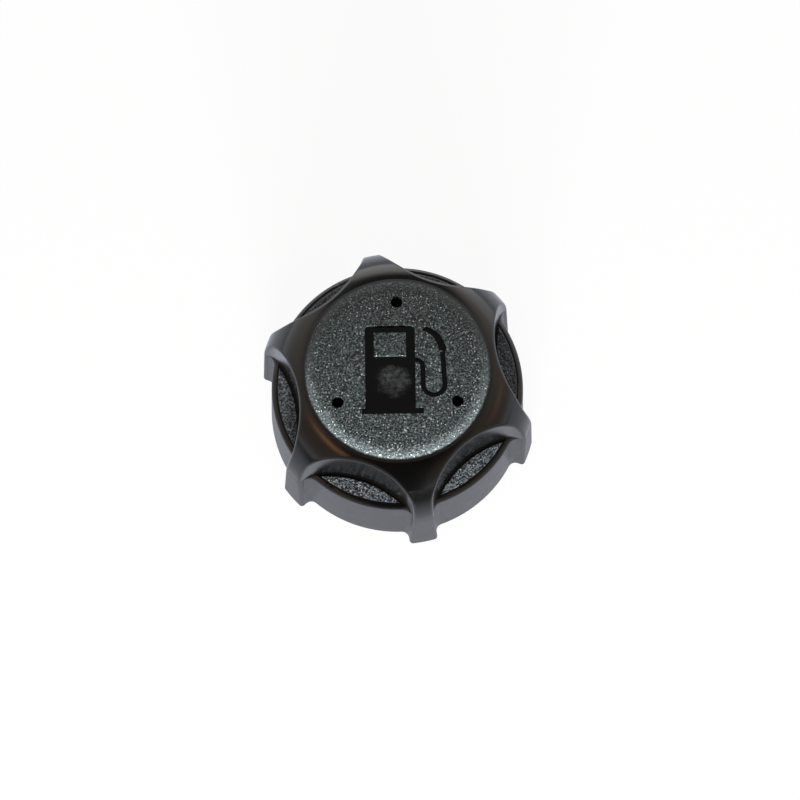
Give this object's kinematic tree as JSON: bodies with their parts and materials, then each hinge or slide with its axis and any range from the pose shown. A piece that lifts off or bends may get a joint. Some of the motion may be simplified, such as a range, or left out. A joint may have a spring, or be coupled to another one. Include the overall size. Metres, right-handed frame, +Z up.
{
  "type": "fuel filler cap",
  "caption": "Screw-on star-grip fuel cap with a round skirt, a textured top disc with a sunk pump pictogram and vent holes, a threaded insert and a roll-over vent valve.",
  "frame": {"origin": "on the cap's axis, at the level of its lower edge", "axes": "+Z up along the cap's axis, from the neck to the disc; +Y towards the top of the pump pictogram"},
  "size_m": [0.0594, 0.0612, 0.033],
  "materials": {
    "cover_plastic": "satin, spark-eroded on the disc and the scallop floors",
    "insert_plastic": "satin",
    "gasket_rubber": "matt",
    "valve_plastic": "natural, satin",
    "ball_steel": "polished",
    "guard_plastic": "satin",
    "foam": "open-cell foam"
  },
  "bodies": {
    "cap": {"cover": "cover_plastic", "threaded_insert": "insert_plastic", "neck_gasket": "gasket_rubber", "valve_seal": "gasket_rubber", "valve_body": "valve_plastic", "ball_cage": "valve_plastic", "splash_guard": "guard_plastic", "breather_foam": "foam", "foam_retainer": "guard_plastic"},
    "ball": {"valve_ball": "ball_steel"}
  },
  "joints": [
    {"name": "ball_lift", "type": "slide", "parent": "cap", "child": "ball", "axis": [0, 0, 1], "range_m": [0, 0.0023]}
  ]
}
